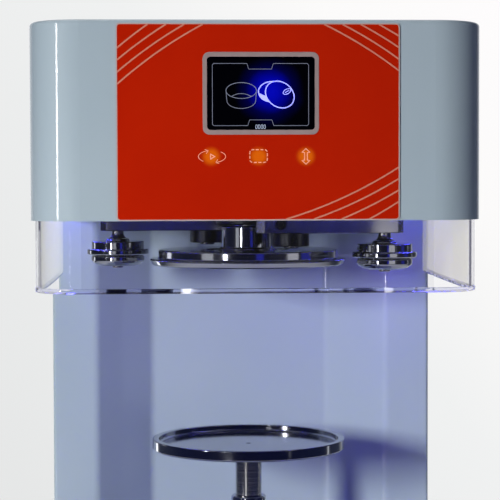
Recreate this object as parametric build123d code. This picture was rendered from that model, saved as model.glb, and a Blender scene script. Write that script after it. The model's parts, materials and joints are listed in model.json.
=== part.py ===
from build123d import *
import os
from math import cos, radians, sin

# Desktop bowl sealing machine. Millimetres, +Z up, X across, Y from the front to the back.
# The origin is on the floor, under the middle of the whole machine.

# Overall sizes
machine_width = 333.0
machine_depth = 416.0
machine_height = 530.0
front_y = -machine_depth / 2
rear_y = machine_depth / 2
sheet = 2.0
screw_head_height = 2.0
cover_rear_y = rear_y - screw_head_height
spindle_y = -44.5

# Base and column
foot_height = 12.0
foot_radius = 16.0
foot_x = 128.0
foot_front_y = -160.0
foot_rear_y = 165.0
edge_fillet = 3.0
base_width = 331.0
base_top_z = 118.0
base_front_y = front_y + 4.0
base_plate_thickness = 2.0
front_corner_radius = 38.0
rear_corner_radius = 12.0
column_width = 331.0
column_front_y = 76.0
column_recess = 45.0
column_strip_inner_x = 127.0
column_panel_half_width = 79.0
fold_radius = 10.0
upright_x = 143.0
upright_y = 165.0
upright_width = 24.0
upright_depth = 40.0
upright_wall = 3.0
back_screw_x = 152.0
back_screw_heights = (138.0, 252.0, 366.0)
vent_length = 44.0
vent_height = 4.0
vent_pitch = 8.0
vent_rows = 9
vent_bottom_z = 300.0
vent_columns = (-80.0, -26.0, 28.0, 82.0)
supply_half_width = 70.0
supply_depth = 40.0
supply_bottom_z = 140.0
supply_top_z = 280.0
supply_fin_pitch = 8.0
supply_fins = 17

# Power inlet and switch, low on the back
inlet_x = -110.0
inlet_z = 62.0
switch_x = -70.0
rocker_pivot_y = cover_rear_y - 3.0

# Head
head_bottom_z = 385.0
head_front_y = front_y + 1.4
panel_thickness = 1.0
panel_half_width = 102.4
panel_bottom_z = 385.2
panel_top_z = 527.2
screen_x = 1.8
screen_z = 476.8
bezel_width = 84.0
bezel_height = 59.4
window_width = 77.8
window_height = 52.6
key_z = 431.4
key_pitch = 34.2
key_glow_radius = 6.5
board_y = head_front_y + 12.0
board_thickness = 1.6
board_width = 148.0
board_height = 108.0
board_z = 466.0
standoff_x = 68.0
standoff_z = 48.0

# Mechanism plate and clear guard
plate_bottom_z = 390.0
plate_thickness = 8.0
plate_top_z = plate_bottom_z + plate_thickness
guard_half_width = 163.2
guard_front_y = front_y + 4.2
guard_wall = 3.0
guard_bottom_z = 332.2
guard_lip_height = 3.7
guard_lip_reach = 0.8
guard_corner_radius = 35.0
guard_rear_y = column_front_y - 1.0
strip_gap = 7.0
strip_width = 8.0
lamp_pitch = 24.0
lamp_size = 5.0

# Spindle and chuck
chuck_bottom_z = 345.8
chuck_lip_top_z = 351.2
chuck_top_z = 358.2
chuck_lip_radius = 79.6
chuck_radius = 72.8
hub_radius = 22.0
hub_top_z = 377.4
spindle_radius = 7.5
bearing_radius = 17.5
bearing_width = 11.0
housing_nose_radius = 26.0
housing_bottom_z = 378.4
housing_top_z = 462.0
belt_z = 476.0
belt_width = 10.0
belt_thickness = 1.6
spindle_pulley_radius = 30.0
motor_pulley_radius = 15.0
motor_y = 62.0
motor_radius = 36.0
motor_height = 64.0
motor_grooves = 20
motor_screw_offset = 30.0
housing_flange_radius = 38.0
housing_screw_circle = 31.0
chuck_screw_circle = 14.5

# Seaming arms and rollers, given for the right arm, in front of the spindle
pivot_x = 31.7
pivot_y = -92.0
roller_x = 106.4
roller_y = -85.0
arm_bottom_z = 372.4
arm_top_z = 386.4
arm_half_width = 11.5
pivot_radius = 6.0
collar_radius = 14.4
collar_height = 10.2
roller_bottom_z = 343.6
roller_top_z = 366.0
roller_pin_radius = 3.5
pin_shoulder_radius = 4.7
pin_neck_radius = 5.0
pin_flare_radius = 8.2
bush_radius = 10.0
bush_flange_radius = 13.0
arm_motor_radius = 18.0
arm_motor_height = 50.0
running_clearance = 0.05

# Lift and dish
dish_radius = 78.2
dish_wall = 5.3
dish_bottom_z = 196.0
dish_floor_z = 199.7
dish_rim_z = 204.7
rod_radius = 10.6
rod_bottom_z = 62.0
rod_shoulder_z = 186.5
guide_radius = 14.2
guide_bottom_z = 96.0
guide_top_z = 157.4
guide_flange_radius = 30.0
guide_screw_circle = 23.0
screw_radius = 5.0
lift_motor_size = 56.0
lift_motor_top_z = 52.0


def cylinder(radius, z0, z1, x=0.0, y=0.0):
    """A round bar standing between two heights."""
    return Pos(x, y, (z0 + z1) / 2) * Cylinder(radius, z1 - z0)


def block(x0, x1, y0, y1, z0, z1):
    """A square block between its six faces."""
    centre = Pos((x0 + x1) / 2, (y0 + y1) / 2, (z0 + z1) / 2)
    return centre * Box(x1 - x0, y1 - y0, z1 - z0)


def turned(points, x=0.0, y=0.0):
    """A turned piece: a closed outline of (radius, height) points, revolved about Z."""
    outline = Polyline(*[(radius, 0, height) for radius, height in points], close=True)
    return Pos(x, y, 0) * revolve(make_face(outline), Axis.Z)


def slab(outline, z0, z1):
    """A flat plan outline, extruded between two heights."""
    return extrude(Pos(0, 0, z0) * outline, z1 - z0)


def plan(half_width, y0, y1, front_radius, back_radius):
    """A rectangle seen from above, with its own radius at the front and the back corners."""
    shape = Pos(0, (y0 + y1) / 2) * Rectangle(2 * half_width, y1 - y0)
    corners = shape.vertices().sort_by(Axis.Y)
    shape = fillet(corners[:2], front_radius)
    if back_radius:
        shape = fillet(shape.vertices().sort_by(Axis.Y)[-2:], back_radius)
    return shape


def front_plate(width, height, radius, y0, y1, x=0.0, z=0.0):
    """A plate that faces the front, with rounded corners."""
    outline = Plane.XZ.offset(-y0) * Pos(x, z) * RectangleRounded(width, height, radius)
    return extrude(outline, y1 - y0, dir=(0, 1, 0))


def half_turn(shape):
    """The same shape on the other side of the spindle."""
    return Pos(0, spindle_y, 0) * Rot(0, 0, 180) * Pos(0, -spindle_y, 0) * shape


def cap_screw(radius, length):
    """A socket-head cap screw along -Z, with its head on top of Z = 0."""
    head = cylinder(1.7 * radius, 0, 2 * radius)
    head = chamfer(head.edges().sort_by(Axis.Z)[-1], 0.15 * radius)
    socket = slab(RegularPolygon(0.95 * radius, 6), 1.0 * radius, 2 * radius)
    return head + cylinder(radius, -length, 0) - socket


def button_screw(radius, length):
    """A low domed screw along -Z, with its head on top of Z = 0."""
    head = cylinder(1.8 * radius, 0, screw_head_height)
    head = fillet(head.edges().sort_by(Axis.Z)[-1], 0.7 * screw_head_height)
    socket = slab(RegularPolygon(0.8 * radius, 6), 0.4 * screw_head_height, screw_head_height)
    return head + cylinder(radius, -length, 0) - socket


def flat_screw(radius, length):
    """A countersunk screw along -Z, with its flat head at Z = 0."""
    cone = turned([(0, -radius), (radius, -radius), (2 * radius, 0), (0, 0)])
    return cone + cylinder(radius, -length, -radius)


def to_rear(screw, x, z, y=cover_rear_y):
    """Turns a screw so that its head looks to the back."""
    return Pos(x, y, z) * Rot(-90, 0, 0) * screw


def group(shapes):
    """Separate solids kept together in one piece, such as a set of screws."""
    solids = [solid for shape in shapes for solid in shape.solids()]
    return Compound(children=solids)


# Base

def make_feet():
    feet = []
    for x in (-foot_x, foot_x):
        for y in (foot_front_y, foot_rear_y):
            foot = turned([(0, 0), (foot_radius - 1.5, 0), (foot_radius, 1.5),
                           (foot_radius - 3, foot_height), (0, foot_height)])
            foot -= cylinder(foot_radius / 2, 0, foot_height / 2)
            feet.append(Pos(x, y, 0) * foot)
    return group(feet)


def make_base_plate():
    outline = plan(base_width / 2 - sheet, base_front_y + sheet, cover_rear_y - sheet,
                   front_corner_radius - sheet, rear_corner_radius - sheet)
    plate = slab(outline, foot_height, foot_height + base_plate_thickness)
    slot = slab(SlotOverall(60, 5), foot_height, foot_height + base_plate_thickness)
    for x in (-70, 0, 70):
        for row in range(6):
            plate -= Pos(x, 60 + 12 * row) * slot
    return plate


def make_base_cover():
    outline = plan(base_width / 2, base_front_y, cover_rear_y, front_corner_radius, rear_corner_radius)
    hollow = plan(base_width / 2 - sheet, base_front_y + sheet, cover_rear_y - sheet,
                  front_corner_radius - sheet, rear_corner_radius - sheet)
    cover = slab(outline, foot_height, base_top_z)
    cover = fillet(cover.faces().sort_by(Axis.Z)[-1].edges(), edge_fillet)
    cover -= slab(hollow, foot_height, base_top_z - sheet)
    cover -= cylinder(guide_radius, base_top_z - sheet, base_top_z, y=spindle_y)
    cover -= block(-160, 160, column_front_y + column_recess + 6, 200, base_top_z - sheet, base_top_z)
    cover -= front_plate(27.4, 19.8, 2, cover_rear_y - sheet, cover_rear_y, x=inlet_x, z=inlet_z)
    cover -= front_plate(13.4, 19.4, 1, cover_rear_y - sheet, cover_rear_y, x=switch_x, z=inlet_z)
    for screw in guide_screws():
        cover -= screw
    return cover


# Power inlet and switch

def make_power_inlet():
    flange = front_plate(31, 24, 3, cover_rear_y, rear_y, x=inlet_x, z=inlet_z)
    body = front_plate(27.4, 19.8, 2, cover_rear_y - 24, cover_rear_y, x=inlet_x, z=inlet_z)
    recess = front_plate(24, 16.4, 3.5, cover_rear_y - 15, rear_y, x=inlet_x, z=inlet_z)
    inlet = flange + body - recess
    for x, z in ((-7, -2), (7, -2), (0, 2)):
        blade = block(inlet_x + x - 1, inlet_x + x + 1, cover_rear_y - 15, cover_rear_y - 6,
                      inlet_z + z - 2, inlet_z + z + 2)
        inlet += blade
    return inlet


def make_switch_frame():
    flange = front_plate(17, 24, 2, cover_rear_y, rear_y - 0.6, x=switch_x, z=inlet_z)
    body = front_plate(13.4, 19.4, 1, cover_rear_y - 16, cover_rear_y, x=switch_x, z=inlet_z)
    opening = front_plate(11, 17.4, 0.6, cover_rear_y - 9, rear_y, x=switch_x, z=inlet_z)
    return flange + body - opening


def make_power_rocker():
    """A rocker whose two faces meet in a shallow V, tipped to one side at rest."""
    profile = Polyline((-7.6, 2.6), (0, 3.4), (7.6, 4.4), (6.6, -2.4), (2, -4.4), (-2, -4.4), (-6.6, -3.4),
                       close=True)
    rocker = extrude(Plane.YZ * Rot(0, 0, -90) * make_face(profile), 5.2, both=True)
    return Pos(switch_x, rocker_pivot_y, inlet_z) * rocker


# Column

def column_outline():
    half = column_width / 2
    recess_y = column_front_y + column_recess
    points = [(-half, column_front_y), (-column_strip_inner_x, column_front_y),
              (-column_panel_half_width, recess_y), (column_panel_half_width, recess_y),
              (column_strip_inner_x, column_front_y), (half, column_front_y),
              (half, cover_rear_y), (-half, cover_rear_y)]
    return make_face(Polyline(*points, close=True))


def folded(solid, inward):
    """Rounds the upright folds of the column's front: of its outer face, or of the face a sheet inward."""
    def fold(low, high, radius):
        edges = solid.edges().filter_by(Axis.Z)
        return fillet([edge for edge in edges if low < abs(edge.center().X) < high
                       and edge.center().Y < cover_rear_y - 10], radius)

    solid = fold(150, column_width, edge_fillet - inward)
    solid = fold(110, 150, fold_radius - inward)
    return fold(0, 100, fold_radius + inward)


def make_column_cover():
    """One folded sheet: two sides, two front strips, two slanted faces and the set-back middle."""
    inner = offset(column_outline(), -sheet, kind=Kind.INTERSECTION)
    column = folded(slab(column_outline(), base_top_z, head_bottom_z), 0)
    column -= folded(slab(inner, base_top_z, head_bottom_z), sheet)
    column -= block(-column_width, column_width, cover_rear_y - sheet, cover_rear_y,
                    base_top_z, head_bottom_z)
    return column


def back_screw_places():
    return [(x, z) for x in (-back_screw_x, back_screw_x) for z in back_screw_heights]


def back_screws():
    return [to_rear(button_screw(2, 8), x, z) for x, z in back_screw_places()]


def make_back_cover():
    """The flat back of the column, folded in at its sides, with two rows of vent slots."""
    half = column_width / 2
    cover = block(-half, half, cover_rear_y - sheet, cover_rear_y, base_top_z, head_bottom_z)
    cover += [block(x - 6, x + 6, cover_rear_y - 12, cover_rear_y - sheet, base_top_z + 8, head_bottom_z - 8)
              for x in (-back_screw_x, back_screw_x)]
    slot = front_plate(vent_length, vent_height, vent_height / 2 - 0.1, cover_rear_y - sheet, cover_rear_y)
    for x in vent_columns:
        for row in range(vent_rows):
            cover -= Pos(x, 0, vent_bottom_z + vent_pitch * row) * slot
    for screw in back_screws():
        cover -= screw
    return cover


def make_uprights():
    """Two square steel tubes that carry the mechanism plate from the base plate."""
    outside = RectangleRounded(upright_width, upright_depth, upright_wall)
    inside = Rectangle(upright_width - 2 * upright_wall, upright_depth - 2 * upright_wall)
    tube = slab(outside - inside, foot_height + base_plate_thickness, plate_bottom_z)
    return group([Pos(x, upright_y) * tube for x in (-upright_x, upright_x)])


def make_power_supply():
    rear = cover_rear_y - sheet
    front = rear - supply_depth
    supply = block(-supply_half_width, supply_half_width, front, rear, supply_bottom_z, supply_top_z)
    left = -supply_fin_pitch * (supply_fins - 1) / 2
    fins = [block(left + supply_fin_pitch * n - 1.5, left + supply_fin_pitch * n + 1.5, front - 6, front,
                  supply_bottom_z + 10, supply_top_z - 10) for n in range(supply_fins)]
    return supply + fins


# Head cover, control panel and what lies behind it

def make_head_cover():
    """A deep drawn shell, open below, with large front corners and a softened top edge."""
    outline = plan(machine_width / 2, head_front_y, cover_rear_y, front_corner_radius, rear_corner_radius)
    hollow = plan(machine_width / 2 - sheet, head_front_y + sheet, cover_rear_y - sheet,
                  front_corner_radius - sheet, rear_corner_radius - sheet)
    cover = slab(outline, head_bottom_z, machine_height)
    cover = fillet(cover.faces().sort_by(Axis.Z)[-1].edges(), edge_fillet)
    cover -= slab(hollow, head_bottom_z, machine_height - sheet)
    cover -= front_plate(window_width, window_height, 2.5, head_front_y, head_front_y + sheet,
                         x=screen_x, z=screen_z)
    for n in (-1, 0, 1):
        cover -= front_plate(2 * key_glow_radius, 2 * key_glow_radius, key_glow_radius - 0.01,
                             head_front_y, head_front_y + sheet, x=n * key_pitch, z=key_z)
    for screw in head_screws():
        cover -= screw
    return cover


def head_screws():
    return [to_rear(button_screw(2, 12), x, plate_bottom_z + plate_thickness / 2) for x in (-140, -50, 50, 140)]


def make_control_panel():
    panel = front_plate(2 * panel_half_width, panel_top_z - panel_bottom_z, 3,
                        head_front_y - panel_thickness, head_front_y,
                        z=(panel_top_z + panel_bottom_z) / 2)
    return panel - front_plate(bezel_width, bezel_height, 5, head_front_y - panel_thickness, head_front_y,
                               x=screen_x, z=screen_z)


def make_display_bezel():
    bezel = front_plate(bezel_width, bezel_height, 5, front_y, head_front_y, x=screen_x, z=screen_z)
    bezel = chamfer(bezel.faces().sort_by(Axis.Y)[0].edges(), 0.3)
    return bezel - front_plate(window_width, window_height, 2.5, front_y, head_front_y, x=screen_x, z=screen_z)


def make_display_window():
    return front_plate(window_width, window_height, 2.5, front_y + 0.3, head_front_y + sheet,
                       x=screen_x, z=screen_z)


def make_display_module():
    frame = front_plate(92, 62, 1.5, head_front_y + sheet, head_front_y + sheet + 5, x=screen_x, z=screen_z)
    header = front_plate(60, 6, 0.5, head_front_y + sheet + 5, board_y, x=screen_x, z=screen_z + 22)
    return frame + header


def make_key_lamps():
    lamps = []
    for n in (-1, 0, 1):
        lamp = front_plate(2 * key_glow_radius, 2 * key_glow_radius, key_glow_radius - 0.01,
                           head_front_y, head_front_y + sheet + 3, x=n * key_pitch, z=key_z)
        lamp += front_plate(15, 15, 2, head_front_y + sheet, board_y, x=n * key_pitch, z=key_z)
        lamps.append(lamp)
    return group(lamps)


def board_corners():
    return [(x, board_z + z) for x in (-standoff_x, standoff_x) for z in (-standoff_z, standoff_z)]


def make_control_board():
    board = front_plate(board_width, board_height, 3, board_y, board_y + board_thickness, z=board_z)
    rear = board_y + board_thickness
    for x, z, width, height, depth in ((-40, 480, 24, 24, 3), (20, 470, 16, 30, 8), (52, 500, 18, 12, 11),
                                       (-10, 430, 60, 8, 9), (-55, 440, 12, 12, 14)):
        board += block(x - width / 2, x + width / 2, rear, rear + depth, z - height / 2, z + height / 2)
    return board


def make_board_standoffs():
    posts = [front_plate(6, 6, 1.5, head_front_y + sheet, board_y, x=x, z=z) for x, z in board_corners()]
    return group(posts)


# Mechanism plate, guard and lamps under the head

def guard_shape(reach, z0, z1):
    """The U of the guard, seen from above, with its outer face moved out by a reach."""
    outer = plan(guard_half_width + reach, guard_front_y - reach, guard_rear_y, guard_corner_radius + reach, 0)
    inner = plan(guard_half_width - guard_wall, guard_front_y + guard_wall, guard_rear_y + 1,
                 guard_corner_radius - guard_wall, 0)
    return slab(outer - inner, z0, z1)


def guard_screws():
    z = plate_bottom_z + plate_thickness / 2
    screw = flat_screw(1.8, 9)
    places = [Pos(x, guard_front_y, z) * Rot(90, 0, 0) for x in (-90, 0, 90)]
    places += [Pos(guard_half_width, y, z) * Rot(0, 90, 0) for y in (-120, -20)]
    places += [Pos(-guard_half_width, y, z) * Rot(0, -90, 0) for y in (-120, -20)]
    return [place * screw for place in places]


def make_guard():
    """One bent clear sheet with a thicker polished lip along its lower edge."""
    guard = guard_shape(0, guard_bottom_z, plate_top_z)
    lip = guard_shape(guard_lip_reach, guard_bottom_z, guard_bottom_z + guard_lip_height)
    guard += lip
    for screw in guard_screws():
        guard -= screw
    return guard


def make_mechanism_plate():
    outline = plan(guard_half_width - guard_wall, guard_front_y + guard_wall, cover_rear_y - sheet,
                   guard_corner_radius - guard_wall, rear_corner_radius - sheet)
    plate = slab(outline, plate_bottom_z, plate_top_z)
    plate -= cylinder(housing_nose_radius, plate_bottom_z, plate_top_z, y=spindle_y)
    hole = cylinder(bush_radius, plate_bottom_z, plate_top_z, x=pivot_x, y=pivot_y)
    plate -= hole
    plate -= half_turn(hole)
    plate -= block(-60, 60, 130, 180, plate_bottom_z, plate_top_z)
    for screw in guard_screws() + plate_screws() + head_screws():
        plate -= screw
    return plate


def make_led_strip():
    """One strip that runs round the guard under the edge of the plate, with a row of small lamps on it."""
    half = guard_half_width - guard_wall - strip_gap
    front = guard_front_y + guard_wall + strip_gap
    outer = plan(half, front, column_front_y - 8, guard_corner_radius - guard_wall - strip_gap, 0)
    inner = plan(half - strip_width, front + strip_width, column_front_y,
                 guard_corner_radius - guard_wall - strip_gap - strip_width, 0)
    strip = slab(outer - inner, plate_bottom_z - 2, plate_bottom_z)
    middle = strip_width / 2
    places = [(lamp_pitch * n, front + middle) for n in range(-5, 6)]
    places += [(side * (half - middle), -160 + lamp_pitch * n) for n in range(10) for side in (-1, 1)]
    for x, y in places:
        lamp = block(x - lamp_size / 2, x + lamp_size / 2, y - lamp_size / 2, y + lamp_size / 2,
                     plate_bottom_z - 3.2, plate_bottom_z - 2)
        strip += lamp
    return strip


# Spindle

def make_spindle_housing():
    bore = bearing_radius
    housing = turned([(12, housing_bottom_z + 13), (bore, housing_bottom_z + 13), (bore, housing_bottom_z),
                      (housing_nose_radius - 1, housing_bottom_z), (housing_nose_radius, housing_bottom_z + 1),
                      (housing_nose_radius, plate_top_z), (housing_flange_radius, plate_top_z),
                      (housing_flange_radius, plate_top_z + 8),
                      (24, plate_top_z + 12), (22, housing_top_z), (bore, housing_top_z),
                      (bore, housing_top_z - 13), (12, housing_top_z - 13)], y=spindle_y)
    for angle in (45, 135, 225, 315):
        x = housing_screw_circle * cos(radians(angle))
        y = spindle_y + housing_screw_circle * sin(radians(angle))
        housing -= cylinder(4.6, plate_top_z + 8, plate_top_z + 14, x=x, y=y)
    for screw in plate_screws():
        housing -= screw
    return housing


def bearing(z0, y=spindle_y, bore=spindle_radius):
    """A closed ball bearing with its shield grooves."""
    z1 = z0 + bearing_width
    ring = turned([(bore + 0.02, z0), (bore + 2.6, z0), (bore + 3, z0 + 0.5), (bearing_radius - 3, z0 + 0.5),
                   (bearing_radius - 2.6, z0), (bearing_radius, z0), (bearing_radius, z1),
                   (bearing_radius - 2.6, z1), (bearing_radius - 3, z1 - 0.5), (bore + 3, z1 - 0.5),
                   (bore + 2.6, z1), (bore + 0.02, z1)], y=y)
    return ring


def make_spindle_bearings():
    return group([bearing(housing_bottom_z + 13 - bearing_width), bearing(housing_top_z - 13)])


def plate_screws():
    screws = []
    for n in range(4):
        angle = radians(45 + 90 * n)
        place = Pos(housing_screw_circle * cos(angle), spindle_y + housing_screw_circle * sin(angle),
                    plate_top_z + 8)
        screws.append(place * cap_screw(2.5, 14))
    for x in (-motor_screw_offset, motor_screw_offset):
        for y in (motor_y - motor_screw_offset, motor_y + motor_screw_offset):
            screws.append(Pos(x, y, plate_top_z + 5) * cap_screw(2.5, 12))
    return screws


def chuck_screws():
    screws = []
    for n in range(4):
        angle = radians(90 * n)
        place = Pos(chuck_screw_circle * cos(angle), spindle_y + chuck_screw_circle * sin(angle),
                    chuck_bottom_z + 2.4)
        screws.append(place * Rot(180, 0, 0) * flat_screw(2.0, 14))
    return screws


def make_chuck():
    """The seaming chuck: a turned disc with a wider tapered lip that sits in the lid's rim."""
    chuck = turned([(0, chuck_bottom_z + 2.4), (62, chuck_bottom_z + 2.4), (66, chuck_bottom_z),
                    (chuck_lip_radius - 2.6, chuck_bottom_z), (chuck_lip_radius - 1.6, chuck_bottom_z + 0.8),
                    (chuck_lip_radius, chuck_lip_top_z - 1.2), (chuck_lip_radius - 0.6, chuck_lip_top_z - 0.3),
                    (chuck_lip_radius - 1.4, chuck_lip_top_z), (chuck_radius + 0.8, chuck_lip_top_z),
                    (chuck_radius, chuck_lip_top_z + 0.8), (chuck_radius, chuck_top_z - 0.8),
                    (chuck_radius - 0.8, chuck_top_z), (34, chuck_top_z), (33, chuck_top_z - 0.8),
                    (0, chuck_top_z - 0.8)], y=spindle_y)
    for screw in chuck_screws():
        chuck -= screw
    return chuck


def make_chuck_hub():
    hub = turned([(0, chuck_top_z - 0.8), (hub_radius + 2, chuck_top_z - 0.8), (hub_radius + 2, chuck_top_z + 0.6),
                  (hub_radius, chuck_top_z + 1.8), (hub_radius, hub_top_z - 1), (hub_radius - 1, hub_top_z),
                  (0, hub_top_z)], y=spindle_y)
    hub -= cylinder(spindle_radius, chuck_top_z + 4, hub_top_z, y=spindle_y)
    for screw in chuck_screws():
        hub -= screw
    return hub


def make_spindle_shaft():
    top = belt_z + belt_width / 2 + 9
    return turned([(0, chuck_top_z + 4), (spindle_radius, chuck_top_z + 4), (spindle_radius, top - 0.6),
                   (spindle_radius - 0.6, top), (0, top)], y=spindle_y)


def pulley(radius, bore, x, y):
    """A flanged belt pulley with a hub above it."""
    half = belt_width / 2 + 0.8
    z0 = belt_z - half
    z1 = belt_z + half
    return turned([(bore, z0 - 1.6), (radius + 3, z0 - 1.6), (radius + 3, z0 - 0.6), (radius, z0), (radius, z1),
                   (radius + 3, z1 + 0.6), (radius + 3, z1 + 1.6), (bore + 6, z1 + 1.6), (bore + 5.4, z1 + 3),
                   (bore, z1 + 3)], x=x, y=y)


def make_drive_belt():
    """A flat belt round the two pulleys, a hair off their faces."""
    gap = 0.3

    def loop(extra):
        near = Pos(0, spindle_y) * Circle(spindle_pulley_radius + extra)
        far = Pos(0, motor_y) * Circle(motor_pulley_radius + extra)
        return make_hull(near.edges() + far.edges())

    band = loop(gap + belt_thickness) - loop(gap)
    return slab(band, belt_z - belt_width / 2, belt_z + belt_width / 2)


def make_spindle_motor():
    """An upright motor with cooling grooves round its body and a square foot."""
    top = plate_top_z + motor_height
    motor = turned([(5.05, plate_top_z), (motor_radius + 2, plate_top_z), (motor_radius + 2, plate_top_z + 5),
                    (motor_radius, plate_top_z + 6), (motor_radius, top - 2), (motor_radius - 2, top), (11, top),
                    (11, top + 2), (5.05, top + 2)], y=motor_y)
    ends = (-motor_screw_offset, motor_screw_offset)
    motor += [block(x - 7, x + 7, motor_y + y - 7, motor_y + y + 7, plate_top_z, plate_top_z + 5)
              for x in ends for y in ends]
    groove = block(motor_radius - 1.5, motor_radius + 1, -1.5, 1.5, plate_top_z + 12, top - 10)
    for n in range(motor_grooves):
        motor -= Pos(0, motor_y) * Rot(0, 0, 360 / motor_grooves * n) * groove
    for screw in plate_screws():
        motor -= screw
    return motor


def make_motor_shaft():
    return turned([(0, plate_top_z + 4), (5, plate_top_z + 4), (5, belt_z + belt_width / 2 + 6),
                   (0, belt_z + belt_width / 2 + 6)], y=motor_y)


# Seaming arms

def arm_outline():
    """Seen from above, from the clamp at the inner end to the wider end over the roller."""
    points = [(-27.5, -7), (-21.5, -arm_half_width), (57.8, -arm_half_width), (84, -6.2), (88.7, -1),
              (88.7, 15), (84, 20.2), (62, 20.2), (42, arm_half_width), (-21.5, arm_half_width), (-27.5, 7)]
    return Pos(pivot_x, pivot_y) * make_face(Polyline(*points, close=True))


def clamp_screw():
    z = (arm_bottom_z + arm_top_z) / 2
    return Pos(pivot_x - 8.65, pivot_y - arm_half_width + 5.2, z) * Rot(90, 0, 0) * cap_screw(2.5, 14)


def make_arm():
    arm = slab(arm_outline(), arm_bottom_z, arm_top_z)
    arm = chamfer(arm.faces().sort_by(Axis.Z)[0].edges(), 0.5)
    arm -= cylinder(pivot_radius, arm_bottom_z, arm_top_z, x=pivot_x, y=pivot_y)
    arm -= cylinder(pin_shoulder_radius, arm_bottom_z, arm_top_z, x=roller_x, y=roller_y)
    arm -= block(pivot_x - 30, pivot_x, pivot_y - 0.8, pivot_y + 0.8, arm_bottom_z, arm_top_z)
    z = (arm_bottom_z + arm_top_z) / 2
    counterbore = Pos(pivot_x - 8.65, pivot_y - arm_half_width + 2.6, z) * Rot(90, 0, 0) * Cylinder(5.2, 5.2)
    arm -= counterbore
    arm -= clamp_screw()
    return arm


def make_pivot_shaft():
    z0 = arm_bottom_z - collar_height - 1.6
    z1 = plate_top_z + 12
    return turned([(0, z0), (pivot_radius - 0.6, z0), (pivot_radius, z0 + 0.6), (pivot_radius, z1), (0, z1)],
                  x=pivot_x, y=pivot_y)


def make_pivot_collar():
    z0 = arm_bottom_z - collar_height
    collar = turned([(pivot_radius, z0), (collar_radius - 0.8, z0), (collar_radius, z0 + 0.8),
                     (collar_radius, arm_bottom_z), (pivot_radius, arm_bottom_z)], x=pivot_x, y=pivot_y)
    hole = Pos(pivot_x, pivot_y - collar_radius, z0 + collar_height / 2) * Rot(90, 0, 0) * Cylinder(1.6, 8)
    return collar - hole


def make_roller_pin():
    """A shoulder bolt with a flared neck under the arm, a thinner shank in the roller and a low head below."""
    flare_low = roller_top_z + 0.3
    flare_high = arm_bottom_z - 1.8
    flare = []
    for n in range(7):
        angle = radians(15 * n)
        flare.append((pin_flare_radius - (pin_flare_radius - pin_neck_radius) * sin(angle),
                      flare_high - (flare_high - flare_low) * cos(angle)))
    return turned([(0, roller_bottom_z - 2.0), (4.2, roller_bottom_z - 2.0), (4.6, roller_bottom_z - 1.4),
                   (4.6, roller_bottom_z - 0.3), (roller_pin_radius, roller_bottom_z - 0.3),
                   (roller_pin_radius, flare_low), *flare, (pin_neck_radius, arm_bottom_z),
                   (pin_shoulder_radius, arm_bottom_z), (pin_shoulder_radius, arm_top_z), (0, arm_top_z)],
                  x=roller_x, y=roller_y)


def make_roller():
    """A seaming roller: hub, upper disc, the widest flange, the forming groove and a lower cone."""
    bore = roller_pin_radius + running_clearance
    z0 = roller_bottom_z
    points = [(bore, z0), (14.5, z0), (18.6, z0 + 1.2), (21.2, z0 + 3.0), (22.0, z0 + 4.4), (22.0, z0 + 7.4),
              (21.4, z0 + 8.2), (20.6, z0 + 8.6), (20.6, z0 + 8.9), (24.4, z0 + 9.2), (25.6, z0 + 9.9),
              (25.6, z0 + 13.0), (25.0, z0 + 13.7), (22.0, z0 + 13.7), (21.8, z0 + 14.0), (21.8, z0 + 19.6),
              (21.2, z0 + 20.2), (10.2, z0 + 20.2), (9.8, z0 + 20.6), (9.4, roller_top_z - 0.6),
              (8.4, roller_top_z), (bore, roller_top_z)]
    return turned(points, x=roller_x, y=roller_y)


def make_pivot_bush():
    bore = pivot_radius + running_clearance
    return turned([(bore, plate_bottom_z - 3), (bush_flange_radius, plate_bottom_z - 3),
                   (bush_flange_radius, plate_bottom_z), (bush_radius, plate_bottom_z),
                   (bush_radius, plate_top_z), (bore, plate_top_z)], x=pivot_x, y=pivot_y)


def make_arm_motor():
    """A small upright gearmotor with a hollow output that takes the pivot shaft."""
    bore = pivot_radius + running_clearance
    z0 = plate_top_z
    wide = arm_motor_radius
    top = z0 + arm_motor_height
    motor = turned([(bore, z0), (wide, z0), (wide, z0 + 22), (wide - 2, z0 + 24), (wide - 2, top - 2),
                    (wide - 4, top), (0, top), (0, z0 + 13), (bore, z0 + 13)], x=pivot_x, y=pivot_y)
    return motor


# Lift and dish

def guide_screws():
    screws = []
    for n in range(4):
        angle = radians(45 + 90 * n)
        place = Pos(guide_screw_circle * cos(angle), spindle_y + guide_screw_circle * sin(angle), base_top_z + 6)
        screws.append(place * cap_screw(2, 12))
    return screws


def make_lift_guide():
    bore = rod_radius + running_clearance
    guide = turned([(bore, guide_bottom_z), (guide_radius, guide_bottom_z), (guide_radius, base_top_z),
                    (guide_flange_radius, base_top_z), (guide_flange_radius, base_top_z + 5),
                    (guide_flange_radius - 1, base_top_z + 6), (guide_radius + 1.5, base_top_z + 6),
                    (guide_radius, base_top_z + 7.5), (guide_radius, guide_top_z - 1), (guide_radius - 1, guide_top_z),
                    (bore, guide_top_z)], y=spindle_y)
    for screw in guide_screws():
        guide -= screw
    guide -= guide_key()
    return guide


def guide_key():
    """A peg through the back of the guide that keeps the rod from turning."""
    y0 = spindle_y + rod_radius - 1.2
    peg = Pos(0, (y0 + spindle_y + guide_radius + 2) / 2, 143)
    return peg * Rot(90, 0, 0) * Cylinder(1.5, spindle_y + guide_radius + 2 - y0)


def make_lift_rod():
    rod = turned([(8, rod_bottom_z), (rod_radius - 0.6, rod_bottom_z), (rod_radius, rod_bottom_z + 0.6),
                  (rod_radius, rod_shoulder_z - 0.6), (rod_radius - 0.6, rod_shoulder_z), (6, rod_shoulder_z),
                  (6, dish_bottom_z - 0.4), (0, dish_bottom_z - 0.4), (0, 152), (8, 152)], y=spindle_y)
    slot = block(-1.8, 1.8, spindle_y + rod_radius - 1.6, spindle_y + rod_radius + 1, 78, 147)
    return rod - slot


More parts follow.
